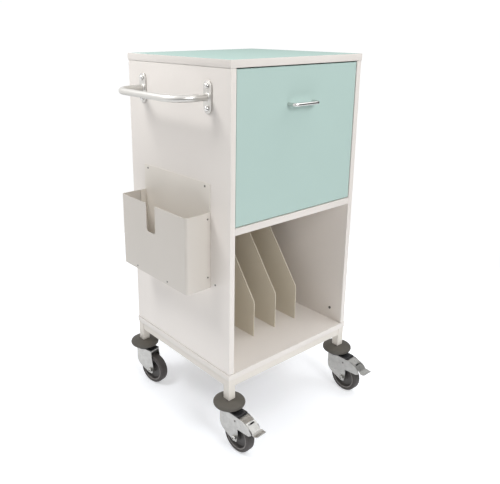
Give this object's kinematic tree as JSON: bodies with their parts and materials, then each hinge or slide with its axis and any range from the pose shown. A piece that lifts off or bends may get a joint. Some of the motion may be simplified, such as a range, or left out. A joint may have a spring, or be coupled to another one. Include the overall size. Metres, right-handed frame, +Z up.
{
  "type": "medical records workstation",
  "caption": "Mobile records workstation: board cabinet with a filing drawer over an open bay with raked dividers, side push handle and document pocket, on braked swivel casters.",
  "frame": {"origin": "on the floor, under the middle of the bounding box", "axes": "+Z up; the drawer opens towards -Y; +X to the right of someone who faces the drawer, so the push handle and the pocket are on the -X side"},
  "size_m": [0.6547, 0.6319, 1.1147],
  "materials": {
    "white_board": "white melamine, satin",
    "aqua_board": "pale aqua melamine, satin",
    "cream_paint": "off-white powder coat, satin",
    "chrome": "polished",
    "zinc": "zinc plated, semi-bright",
    "bumper_rubber": "grey, matt",
    "tyre_rubber": "dark grey, matt",
    "hub_plastic": "dark grey, matt",
    "black_plastic": "black, satin"
  },
  "bodies": {
    "cabinet": {"worktop": "aqua_board", "left_panel": "white_board", "right_panel": "white_board", "back_panel": "white_board", "middle_shelf": "white_board", "base_board": "white_board", "divider_1": "cream_paint", "divider_2": "cream_paint", "divider_3": "cream_paint", "divider_4": "cream_paint", "left_cabinet_runner": "zinc", "right_cabinet_runner": "zinc", "push_handle": "chrome", "pocket_back": "cream_paint", "pocket_front": "cream_paint", "front_left_leg": "cream_paint", "front_right_leg": "cream_paint", "rear_left_leg": "cream_paint", "rear_right_leg": "cream_paint", "front_rail": "cream_paint", "rear_rail": "cream_paint", "left_rail": "cream_paint", "right_rail": "cream_paint", "front_left_bumper": "bumper_rubber", "front_right_bumper": "bumper_rubber", "rear_left_bumper": "bumper_rubber", "rear_right_bumper": "bumper_rubber", "front_left_swivel_head": "black_plastic", "front_right_swivel_head": "black_plastic", "rear_left_swivel_head": "black_plastic", "rear_right_swivel_head": "black_plastic"},
    "drawer": {"drawer_front": "aqua_board", "drawer_left_side": "white_board", "drawer_right_side": "white_board", "drawer_back": "white_board", "drawer_bottom": "white_board", "drawer_handle": "chrome", "left_drawer_runner": "zinc", "right_drawer_runner": "zinc"},
    "left_runner_slider": {"left_middle_runner": "zinc"},
    "right_runner_slider": {"right_middle_runner": "zinc"},
    "front_left_swivel": {"front_left_fork": "zinc", "front_left_axle": "zinc"},
    "front_left_wheel": {"front_left_hub": "hub_plastic", "front_left_tyre": "tyre_rubber"},
    "front_left_brake": {"front_left_brake_pedal": "zinc"},
    "front_right_swivel": {"front_right_fork": "zinc", "front_right_axle": "zinc"},
    "front_right_wheel": {"front_right_hub": "hub_plastic", "front_right_tyre": "tyre_rubber"},
    "front_right_brake": {"front_right_brake_pedal": "zinc"},
    "rear_left_swivel": {"rear_left_fork": "zinc", "rear_left_axle": "zinc"},
    "rear_left_wheel": {"rear_left_hub": "hub_plastic", "rear_left_tyre": "tyre_rubber"},
    "rear_right_swivel": {"rear_right_fork": "zinc", "rear_right_axle": "zinc"},
    "rear_right_wheel": {"rear_right_hub": "hub_plastic", "rear_right_tyre": "tyre_rubber"}
  },
  "joints": [
    {"name": "drawer_slide", "type": "slide", "parent": "cabinet", "child": "drawer", "axis": [0, -1, 0], "range_m": [0, 0.4]},
    {"name": "left_runner_slide", "type": "slide", "parent": "cabinet", "child": "left_runner_slider", "axis": [0, -1, 0], "range_m": [0, 0.2]},
    {"name": "right_runner_slide", "type": "slide", "parent": "cabinet", "child": "right_runner_slider", "axis": [0, -1, 0], "range_m": [0, 0.2]},
    {"name": "front_left_swivel_turn", "type": "hinge", "parent": "cabinet", "child": "front_left_swivel", "pos_m": [-0.205, -0.184, 0.12], "axis": [0, 0, 1], "continuous": true},
    {"name": "front_left_wheel_spin", "type": "hinge", "parent": "front_left_swivel", "child": "front_left_wheel", "pos_m": [-0.2027, -0.22794, 0.05], "axis": [0.9986, 0.0523, 0], "continuous": true},
    {"name": "front_left_brake_press", "type": "hinge", "parent": "front_left_swivel", "child": "front_left_brake", "pos_m": [-0.2027, -0.22794, 0.1045], "axis": [0.9986, 0.0523, 0], "range_deg": [0, 6]},
    {"name": "front_right_swivel_turn", "type": "hinge", "parent": "cabinet", "child": "front_right_swivel", "pos_m": [0.28, -0.184, 0.12], "axis": [0, 0, 1], "continuous": true},
    {"name": "front_right_wheel_spin", "type": "hinge", "parent": "front_right_swivel", "child": "front_right_wheel", "pos_m": [0.28077, -0.22799, 0.05], "axis": [0.9998, 0.0175, 0], "continuous": true},
    {"name": "front_right_brake_press", "type": "hinge", "parent": "front_right_swivel", "child": "front_right_brake", "pos_m": [0.28077, -0.22799, 0.1045], "axis": [0.9998, 0.0175, 0], "range_deg": [0, 6]},
    {"name": "rear_left_swivel_turn", "type": "hinge", "parent": "cabinet", "child": "rear_left_swivel", "pos_m": [-0.205, 0.268, 0.12], "axis": [0, 0, 1], "continuous": true},
    {"name": "rear_left_wheel_spin", "type": "hinge", "parent": "rear_left_swivel", "child": "rear_left_wheel", "pos_m": [-0.19585, 0.22496, 0.05], "axis": [0.9781, 0.2079, 0], "continuous": true},
    {"name": "rear_right_swivel_turn", "type": "hinge", "parent": "cabinet", "child": "rear_right_swivel", "pos_m": [0.28, 0.268, 0.12], "axis": [0, 0, 1], "continuous": true},
    {"name": "rear_right_wheel_spin", "type": "hinge", "parent": "rear_right_swivel", "child": "rear_right_wheel", "pos_m": [0.2846, 0.22424, 0.05], "axis": [0.9945, 0.1045, 0], "continuous": true}
  ],
  "couplings": [
    {"joint": "left_runner_slide", "follows": "drawer_slide", "ratio": 0.5},
    {"joint": "right_runner_slide", "follows": "drawer_slide", "ratio": 0.5}
  ]
}
